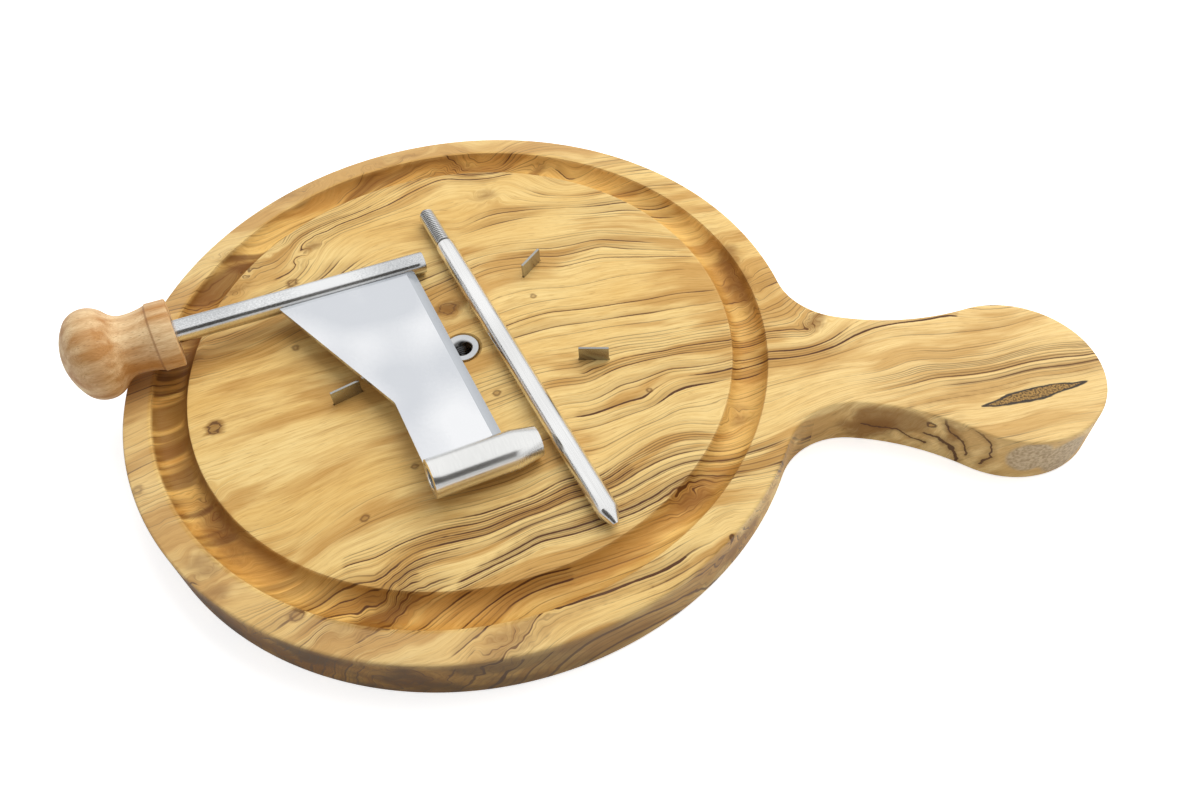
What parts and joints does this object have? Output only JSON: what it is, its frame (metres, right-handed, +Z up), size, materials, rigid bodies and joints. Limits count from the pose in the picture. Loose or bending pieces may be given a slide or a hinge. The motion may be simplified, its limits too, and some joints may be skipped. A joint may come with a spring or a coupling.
{
  "type": "cheese curler",
  "caption": "Olive-wood paddle board with a threaded socket and holding plates, carrying a loose steel spindle and a cranked blade scraper with a turning beech knob.",
  "frame": {"origin": "on the axis of the threaded insert, at the board's underside", "axes": "+X along the board's handle, +Z up out of the board's top, +Y completes a right-handed frame"},
  "size_m": [0.344, 0.2296, 0.0495],
  "materials": {
    "olive_wood": "sanded and oiled",
    "beech": "turned and waxed",
    "steel_polished": "polished",
    "steel_turned": "turned, fine circular marks"
  },
  "bodies": {
    "board": {"board": "olive_wood", "threaded_insert": "steel_turned", "holding_plate_far": "steel_polished", "holding_plate_handle": "steel_polished", "holding_plate_near": "steel_polished"},
    "scraper": {"hub": "steel_polished", "blade": "steel_polished", "crank_rod": "steel_turned", "rod_retaining_ring": "steel_turned"},
    "knob": {"knob": "beech", "knob_bush": "steel_turned"},
    "spindle": {"spindle": "steel_turned"}
  },
  "joints": [
    {"name": "scraper_lift", "type": "slide", "parent": "board", "child": "scraper", "axis": [0, 0, 1], "range_m": [0, 0.06]},
    {"name": "knob_turn", "type": "hinge", "parent": "scraper", "child": "knob", "pos_m": [-0.09511, -0.00766, 0.03188], "axis": [0.8601, 0.5026, -0.0874], "continuous": true},
    {"name": "spindle_lift", "type": "slide", "parent": "board", "child": "spindle", "axis": [0, 0, 1], "range_m": [0, 0.06]}
  ]
}
